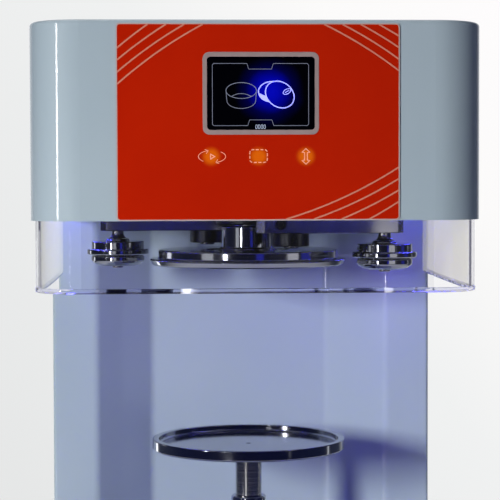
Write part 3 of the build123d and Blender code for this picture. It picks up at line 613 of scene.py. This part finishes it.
def make_materials():
    right_low, right_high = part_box("right_roller")
    left_low, left_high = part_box("left_roller")
    right, left = (right_low + right_high) / 2, (left_low + left_high) / 2
    steel = (0.52, 0.53, 0.55)
    return {
        "shell_paint": shell_paint(),
        "panel_film": panel_film(),
        "bezel_grey": bezel_grey(),
        "screen_glass": screen_glass(),
        "key_orange": glow_ink("key_orange", (0.8, 0.3, 0.02), 0.4),
        "board_green": board_green(),
        "clear_acrylic": clear_acrylic(),
        "polished_lip": polished_lip(),
        "bent_corner": bent_corner(),
        "stripe_ink": printed_ink("stripe_ink", (0.62, 0.22, 0.14)),
        # A pale line round the panel: painted light, standing in for the edge of the film catching the lamps.
        "painted_edge_light": printed_ink("painted_edge_light", (0.50, 0.38, 0.34)),
        "icon_ink": glow_ink("icon_ink", (0.74, 0.31, 0.20), 0.3),
        "screen_grey": glow_ink("screen_grey", (0.11, 0.12, 0.16), 1.0),
        "screen_blue": glow_ink("screen_blue", (0.30, 0.32, 0.95), 1.0),
        "screen_white": glow_ink("screen_white", (0.34, 0.40, 0.52), 1.0),
        "dish_steel": turned_steel("dish_steel", spindle.x, spindle.y, (0.40, 0.41, 0.44), 0.10),
        "led_white": led_white(),
        "polished_steel": turned_steel("polished_steel", spindle.x, spindle.y, steel, 0.09),
        "chuck_steel": turned_steel("chuck_steel", spindle.x, spindle.y, (0.34, 0.35, 0.38), 0.09),
        "right_roller_steel": turned_steel("right_roller_steel", right.x, right.y, (0.34, 0.35, 0.38), 0.08),
        "left_roller_steel": turned_steel("left_roller_steel", left.x, left.y, (0.34, 0.35, 0.38), 0.08),
        "rod_steel": turned_steel("rod_steel", spindle.x, spindle.y, (0.58, 0.57, 0.55), 0.17, 1100, 0.5),
        "machined_steel": milled_steel("machined_steel", (0.36, 0.36, 0.38), 0.24),
        "dark_steel": moulded("dark_steel", (0.035, 0.036, 0.042), 0.32, 900, 0.1, Metallic=1.0),
        "zinc_steel": milled_steel("zinc_steel", (0.55, 0.56, 0.58), 0.3),
        "motor_black": moulded("motor_black", (0.012, 0.012, 0.013), 0.5),
        "bronze": moulded("bronze", (0.42, 0.25, 0.10), 0.3, 700, 0.1, Metallic=1.0),
        "black_plastic": moulded("black_plastic", (0.011, 0.011, 0.012), 0.42),
        "belt_rubber": moulded("belt_rubber", (0.010, 0.010, 0.010), 0.7, 500),
        "foot_rubber": moulded("foot_rubber", (0.014, 0.014, 0.015), 0.75, 700),
        "supply_metal": milled_steel("supply_metal", (0.6, 0.6, 0.61), 0.35),
    }


def dress_frame():
    """Gives every node of the frame its material."""
    for name, node in nodes.items():
        node.data.materials.clear()
        node.data.materials.append(surface_of(name))


def surface_of(node):
    """The material of a node: its own finish, or else that of its slot in the record."""
    return materials[own_finish.get(node) or frame_slots[node]]


# Mesh helpers

def new_piece(name, form, surface, body, replaced=(), smooth=35):
    """Turns a bmesh into a piece of the scene that rides on a body."""
    bmesh.ops.recalc_face_normals(form, faces=form.faces)
    mesh = bpy.data.meshes.new(name)
    form.to_mesh(mesh)
    form.free()
    mesh.materials.append(surface)
    piece = bpy.data.objects.new(name, mesh)
    bpy.context.scene.collection.objects.link(piece)
    mesh.shade_smooth()
    mesh.set_sharp_from_angle(angle=radians(smooth))
    piece.modifiers.new("large_faces_first", "WEIGHTED_NORMAL").keep_sharp = True
    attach(piece, body)
    if replaced:
        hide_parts(*replaced)
    return piece


def softened(points, radius, steps=3):
    """The same closed outline with each corner cut by a small round of about this radius."""
    soft = []
    count = len(points)
    for n, point in enumerate(points):
        here = Vector(point)
        back = Vector(points[n - 1]) - here
        ahead = Vector(points[(n + 1) % count]) - here
        if min(abs(here.x), 1) < 1e-9:
            soft.append(here)
            continue
        reach = min(radius, 0.45 * back.length, 0.45 * ahead.length)
        start = here + back.normalized() * reach
        end = here + ahead.normalized() * reach
        for step in range(steps + 1):
            t = step / steps
            soft.append(start * (1 - t) ** 2 + here * 2 * t * (1 - t) + end * t ** 2)
    return soft


def lathe(name, points, x, y, surface, body, replaced, soft=0.3, segments=144):
    """A turned piece: closed (radius, height) points in millimetres, softened and spun upright."""
    outline = softened(points, soft)
    form = bmesh.new()
    rings = []
    for radius, height in outline:
        if radius < 1e-6:
            rings.append([form.verts.new((x, y, height * mm))])
            continue
        ring = []
        for n in range(segments):
            angle = 2 * pi * n / segments
            across, along_y = radius * mm * cos(angle), radius * mm * sin(angle)
            ring.append(form.verts.new((x + across, y + along_y, height * mm)))
        rings.append(ring)
    for first, second in zip(rings, rings[1:] + rings[:1]):
        for n in range(segments):
            m = (n + 1) % segments
            corners = [first[n % len(first)], first[m % len(first)]]
            corners += [second[m % len(second)], second[n % len(second)]]
            corners = list(dict.fromkeys(corners))
            if len(corners) > 2:
                form.faces.new(corners)
    return new_piece(name, form, surface, body, replaced)


def dress(node, surface, width, steps=2, angle=30):
    """A copy of a node's mesh with its sharp edges rounded, in the node's place."""
    form = bmesh.new()
    form.from_mesh(nodes[node].data)
    bmesh.ops.remove_doubles(form, verts=form.verts, dist=2e-6)
    bmesh.ops.dissolve_limit(form, angle_limit=radians(0.5), verts=form.verts, edges=form.edges)
    sharp = [e for e in form.edges if len(e.link_faces) == 2 and e.calc_face_angle(0) > radians(angle)]
    bmesh.ops.bevel(form, geom=sharp, offset=width * mm, segments=steps, profile=0.5, affect="EDGES",
                    clamp_overlap=True)
    body = nodes[node]["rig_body"]
    return new_piece(node + "_finish", form, surface, body, (node,))


# Thin ink and lit lines on the control panel

def ribbon(form, points, width, face, rise=0.08, closed=False):
    """A flat strip along (x, z) points in millimetres, standing just proud of a face."""
    count = len(points)
    sections = []
    for n in range(count):
        before = Vector(points[n - 1]) if closed or n else None
        after = Vector(points[(n + 1) % count]) if closed or n < count - 1 else None
        here = Vector(points[n])
        into = (here - before).normalized() if before else None
        out = (after - here).normalized() if after else into
        into = into or out
        side = Vector((-into.y - out.y, into.x + out.x)).normalized()
        half = width / 2 / max(0.4, side.dot(Vector((-into.y, into.x))))
        section = []
        for reach, y in ((-half, rise), (half, rise), (half, -0.02), (-half, -0.02)):
            spot = here + side * reach
            section.append(form.verts.new((spot.x * mm, face - y * mm, spot.y * mm)))
        sections.append(section)
    pairs = list(zip(sections, sections[1:]))
    if closed:
        pairs.append((sections[-1], sections[0]))
    else:
        form.faces.new(sections[0])
        form.faces.new(sections[-1])
    for first, second in pairs:
        for k in range(4):
            form.faces.new((first[k], first[(k + 1) % 4], second[(k + 1) % 4], second[k]))


def patch(form, points, face, rise=0.08):
    """A filled flat patch with the outline of (x, z) points in millimetres."""
    front = [form.verts.new((x * mm, face - rise * mm, z * mm)) for x, z in points]
    back = [form.verts.new((x * mm, face + 0.02 * mm, z * mm)) for x, z in points]
    form.faces.new(front)
    form.faces.new(back)
    for n in range(len(points)):
        m = (n + 1) % len(points)
        form.faces.new((front[n], front[m], back[m], back[n]))


def ellipse(x, z, half_width, half_height, start=0, end=360, turn=0, steps=48):
    """Points along an ellipse's arc, in millimetres, with its angles in degrees."""
    points = []
    closed = end - start >= 360
    for n in range(steps if closed else steps + 1):
        angle = radians(start + (end - start) * n / steps)
        along, across = half_width * cos(angle), half_height * sin(angle)
        c, s = cos(radians(turn)), sin(radians(turn))
        points.append((x + along * c - across * s, z + along * s + across * c))
    return points


def rounded_box(x, z, width, height, radius, steps=6):
    points = []
    for cx, cz, start in ((1, 1, 0), (-1, 1, 90), (-1, -1, 180), (1, -1, 270)):
        corner = (x + cx * (width / 2 - radius), z + cz * (height / 2 - radius))
        points += ellipse(*corner, radius, radius, start, start + 90, steps=steps)
    return points


def bowed(start, end, bow_radius, steps=16):
    """Points on a shallow arc between two points, bulging to the left of its way."""
    a, b = Vector(start), Vector(end)
    chord = b - a
    half = chord.length / 2
    side = Vector((-chord.y, chord.x)).normalized()
    depth = sqrt(bow_radius ** 2 - half ** 2)
    centre = (a + b) / 2 - side * depth
    points = []
    for n in range(steps + 1):
        spot = a + chord * n / steps - centre
        points.append(tuple(centre + spot.normalized() * bow_radius))
    return points


def panel_stripes():
    """Four shallow arcs across each of three corners of the panel."""
    left, right = panel_lo.x / mm + edge_line, panel_hi.x / mm - edge_line
    low, high = panel_lo.z / mm + edge_line, panel_hi.z / mm - edge_line
    form = bmesh.new()
    for n in range(4):
        top_left = (left, high - 17 - 8.6 * n), (left + 22 + 13.2 * n, high)
        top_right = (right - 14.3 - 13.2 * n, high), (right, high - 8.2 - 8.3 * n)
        low_right = (right, low + 12.4 + 8.3 * n), (right - 21.1 - 20.2 * n, low)
        for start, end in (top_left, top_right, low_right):
            ribbon(form, bowed(start, end, stripe_bow), stripe_width, panel_face)
    new_piece("panel_stripes", form, materials["stripe_ink"], "root")


def panel_border():
    form = bmesh.new()
    centre_z = (panel_lo.z + panel_hi.z) / 2 / mm
    width = (panel_hi.x - panel_lo.x) / mm - edge_line
    height = (panel_hi.z - panel_lo.z) / mm - edge_line
    # The pale line is painted light for the lit edge of the panel.
    ribbon(form, rounded_box(0, centre_z, width, height, 2.6), edge_line, panel_face, 0.1, closed=True)
    new_piece("panel_border", form, materials["painted_edge_light"], "root")


def arrow_head(form, tip, heading, size, width, face):
    for side in (-1, 1):
        angle = radians(heading + 180 + side * 38)
        end = (tip[0] + size * cos(angle), tip[1] + size * sin(angle))
        ribbon(form, [end, tip], width, face)


def turn_icon(form, x, z):
    """Two arrows running round an ellipse, with a small start triangle between them."""
    for half in (0, 180):
        arc = ellipse(x + 0.6, z, 9.8, 4.4, 230 + half, 106 + half, steps=20)
        ribbon(form, arc, 0.45, panel_face)
        arrow_head(form, arc[-1], half + 18, 2.6, 0.45, panel_face)
    ribbon(form, [(x - 0.4, z + 1.7), (x - 0.4, z - 1.7), (x + 2.6, z)], 0.7, panel_face, closed=True)


def box_icon(form, x, z):
    """A rounded box drawn in dashes."""
    outline = rounded_box(x, z + 0.3, 12.6, 9.2, 2.0, steps=4)
    loop = outline + outline[:1]
    walk = [0.0]
    for a, b in zip(loop, loop[1:]):
        walk.append(walk[-1] + hypot(b[0] - a[0], b[1] - a[1]))
    dashes = 12
    length = walk[-1] / dashes
    for n in range(dashes):
        marks = [length * (n + 0.18), length * (n + 0.5), length * (n + 0.82)]
        ribbon(form, [along(loop, walk, mark) for mark in marks], 0.7, panel_face)


def along(loop, walk, distance):
    """The point at a distance along a line of points, whose running lengths are given."""
    for n in range(len(loop) - 1):
        if walk[n + 1] >= distance and walk[n + 1] > walk[n]:
            t = (distance - walk[n]) / (walk[n + 1] - walk[n])
            return tuple(Vector(loop[n]).lerp(Vector(loop[n + 1]), t))
    return loop[-1]


def lift_icon(form, x, z):
    """An upright arrow with a head at each end, in outline."""
    quarter = [(1.0, 2.6), (2.7, 3.1), (0, 5.6)]
    outline = quarter + [(-a, b) for a, b in quarter[1::-1]]
    outline += [(-a, -b) for a, b in quarter] + [(a, -b) for a, b in quarter[1::-1]]
    ribbon(form, [(x + a, z + b) for a, b in outline], 0.6, panel_face, closed=True)


def key_icons():
    form = bmesh.new()
    height = key_height / mm
    turn_icon(form, -key_pitch / mm, height)
    box_icon(form, 0, height)
    lift_icon(form, key_pitch / mm, height)
    new_piece("key_icons", form, materials["icon_ink"], "root")


def screen_frame(form):
    """The line round the picture, with a notch for the counter below and one above."""
    left, right, low, high = -35.0, 34.4, -23.2, 21.4
    notch_top, notch_low, slope = 17.4, -19.1, 1.4
    outline = [(left, low + 1), (left, high - 1), (left + 1, high), (-10.2, high), (-10.2 + slope, notch_top),
               (7.6, notch_top), (7.6 + slope, high), (right - 1, high), (right, high - 1), (right, low + 1),
               (right - 1, low), (7.8 + slope, low), (7.8, notch_low), (-8.2, notch_low), (-8.2 - slope, low),
               (left + 1, low)]
    ribbon(form, [(screen_x + x, screen_z + z) for x, z in outline], 0.34, window_face, 0.05, closed=True)


def digit_zero(form, x, z):
    ribbon(form, rounded_box(x, z, 1.2, 2.8, 0.55, steps=3), 0.24, window_face, 0.05, closed=True)


def bowl_picture(form):
    x, z = screen_x - 14.2, screen_z + 2.0
    ribbon(form, ellipse(x, z, 11.0, 5.7), 0.45, window_face, 0.05, closed=True)
    wall = [(x - 10.9, z - 0.8)] + ellipse(x, z - 7.2, 10.4, 5.7, 180, 360, steps=28) + [(x + 10.9, z - 0.8)]
    ribbon(form, wall, 0.4, window_face, 0.05)
    ribbon(form, ellipse(x, z - 8.4, 9.4, 6.2, 136, 44, steps=16), 0.4, window_face, 0.05)


def curve(start, bend, end, steps=12):
    """Points on a curve that leaves its start towards a bend and comes to its end from there."""
    points = []
    for n in range(steps + 1):
        t = n / steps
        spot = Vector(start) * (1 - t) ** 2 + Vector(bend) * 2 * t * (1 - t) + Vector(end) * t ** 2
        points.append(tuple(spot))
    return points


def lid_picture(form):
    """A tilted lid with its wall showing on the left, and a pull tab."""
    x, z = screen_x + 13.6, screen_z - 0.9
    ribbon(form, ellipse(x, z, 11.0, 8.9, turn=-35), 0.75, window_face, 0.05, closed=True)
    top, left, low = (x - 3.9, z + 9.4), (x - 15.4, z + 3.2), (x - 7.9, z - 5.1)
    skirt = curve(left, (x - 15.5, z - 3.6), low)
    ribbon(form, curve(top, (x - 13.0, z + 9.7), left)[:-1] + skirt, 0.75, window_face, 0.05)
    lid_side = ellipse(x, z, 11.3, 9.2, 226, 250, turn=-35, steps=8)
    patch(form, skirt[2:] + lid_side[::-1], window_face, 0.04)
    ribbon(form, ellipse(x + 5.2, z + 2.2, 3.0, 1.7, turn=28, steps=24), 0.5, window_face, 0.05, closed=True)
    ribbon(form, [(x + 3.7, z + 1.4), (x + 6.7, z + 3.0)], 0.5, window_face, 0.05)


def screen_pictures():
    dim = bmesh.new()
    screen_frame(dim)
    bowl_picture(dim)
    new_piece("screen_lines", dim, materials["screen_grey"], "root")
    bright = bmesh.new()
    lid_picture(bright)
    new_piece("screen_picture", bright, materials["screen_blue"], "root")
    count = bmesh.new()
    for n in range(4):
        digit_zero(count, screen_x - 3.3 + 1.95 * n, screen_z - 24.0)
    new_piece("screen_counter", count, materials["screen_white"], "root")


# Guard

def guard_section():
    """The sheet's upright section as (reach, height), with a bead along its lower edge."""
    low, high = guard_lo.z / mm, guard_hi.z / mm
    steps = 5
    bead = softened([(-guard_wall, low), (lip_reach, low), (lip_reach, low + lip_height),
                     (-guard_wall, low + lip_height)], 1.75, steps)
    outer = [tuple(point) for point in bead[:3 * (steps + 1)]]
    return outer + [(0, low + lip_height), (0, low + lip_height + 0.6), (0, high), (-guard_wall, high),
                    (-guard_wall, low + 2.2)]


def guard_path():
    """The U of the outer face seen from above, as (place, outward direction) pairs."""
    half = guard_hi.x / mm - lip_reach
    front = guard_lo.y / mm + lip_reach
    rear = guard_hi.y / mm
    corner = guard_corner
    path = []
    for n in range(5):
        path.append(((-half, rear + (front + corner - rear) * n / 5), (-1, 0)))
    for n in range(25):
        angle = radians(180 + 90 * n / 24)
        path.append(((-half + corner + corner * cos(angle), front + corner + corner * sin(angle)),
                     (cos(angle), sin(angle))))
    side = len(path)
    for n in range(1, 12):
        path.append(((-half + corner + (2 * half - 2 * corner) * n / 12, front), (0, -1)))
    mirrored = [((-place[0], place[1]), (-way[0], way[1])) for place, way in path[:side]]
    return path + mirrored[::-1]


def make_guard():
    section = guard_section()
    path = guard_path()
    form = bmesh.new()
    rings = []
    for (x, y), (dx, dy) in path:
        rings.append([form.verts.new(((x + dx * reach) * mm, (y + dy * reach) * mm, height * mm))
                      for reach, height in section])
    count = len(section)
    for first, second in zip(rings, rings[1:]):
        for k in range(count):
            m = (k + 1) % count
            form.faces.new((first[k], first[m], second[m], second[k]))
    form.faces.new(rings[0])
    form.faces.new(rings[-1])
    guard = new_piece("guard_sheet", form, materials["clear_acrylic"], "root", ("guard",))
    guard.data.materials.append(materials["polished_lip"])
    guard.data.materials.append(materials["bent_corner"])
    for face in guard.data.polygons:
        bent = abs(face.center.x) > guard_hi.x - (lip_reach + guard_corner) * mm
        bent = bent and face.center.y < guard_lo.y + (lip_reach + guard_corner) * mm
        if face.center.z < guard_lo.z + (lip_height + 0.2) * mm:
            face.material_index = 1
        elif bent:
            face.material_index = 2
    guard.visible_shadow = False


# Turned pieces

def make_chuck():
    low, lip_top, top = 345.8, 351.2, 358.2
    disc = [(0, low + 2.4), (62, low + 2.4), (66, low), (77.0, low), (78.0, low + 0.8),
            (79.6, lip_top - 1.2), (79.0, lip_top - 0.3), (78.2, lip_top), (73.6, lip_top),
            (72.8, lip_top + 0.8), (72.8, top - 0.8), (72.0, top), (34, top), (33, top - 0.8), (0, top - 0.8)]
    lathe("chuck_disc", disc, spindle.x, spindle.y, materials["chuck_steel"], "spindle",
          ("chuck",), 0.35, 192)
    boss_top = 377.4
    boss = [(0, top - 0.8), (24, top - 0.8), (24, top + 0.6), (22, top + 1.8), (22, boss_top - 1),
            (21, boss_top), (0, boss_top)]
    lathe("chuck_boss", boss, spindle.x, spindle.y, materials["chuck_steel"], "spindle",
          ("chuck_hub",), 0.35)


def make_rollers():
    """The seaming rollers: a cone below, a rib in the middle and a drum with a boss on top."""
    for side in ("right", "left"):
        low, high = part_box(side + "_roller")
        z = low.z / mm
        top = high.z / mm
        points = [(3.55, z), (14.5, z), (18.6, z + 1.2), (21.2, z + 3.0), (22.0, z + 4.4), (22.0, z + 7.4),
                  (21.4, z + 8.2), (20.6, z + 8.6), (20.6, z + 8.9), (24.4, z + 9.2), (25.6, z + 9.9),
                  (25.6, z + 13.0), (25.0, z + 13.7), (22.0, z + 13.7), (21.8, z + 14.0), (21.8, z + 19.6),
                  (21.2, z + 20.2), (10.2, z + 20.2), (9.8, z + 20.6), (9.4, top - 0.6), (8.4, top),
                  (3.55, top)]
        lathe(side + "_roller_form", points, (low.x + high.x) / 2, (low.y + high.y) / 2,
              materials[side + "_roller_steel"], side + "_seaming_roller",
              (side + "_roller",), 0.3)


def make_dish():
    radius, wall, low, floor, rim = 78.2, 5.3, 196.0, 199.7, 204.7
    boss_low = 187.1
    points = [(2, floor), (radius - wall - 1.2, floor), (radius - wall, floor + 1.2),
              (radius - wall, rim - 0.5), (radius - wall + 0.5, rim), (radius - 0.6, rim),
              (radius, rim - 0.6), (radius, low + 1), (radius - 1, low), (20, low), (18, low - 2),
              (18, boss_low), (11, boss_low), (11, low), (2, low)]
    lathe("dish_form", points, spindle.x, spindle.y, materials["dish_steel"], "lift_dish",
          ("dish",), 0.4, 192)


def make_edges():
    """Rounded edges on the bare metal under the head and on the lift."""
    for name in sorted(nodes):
        if name.endswith(rounded_kinds):
            dress(name, surface_of(name), 0.3)


make_camera()
make_world()
make_lights()
make_floor()
materials = make_materials()
dress_frame()
panel_stripes()
panel_border()
key_icons()
screen_pictures()
make_guard()
make_chuck()
make_rollers()
make_dish()
make_edges()

bpy.context.scene.view_settings.view_transform = "Standard"
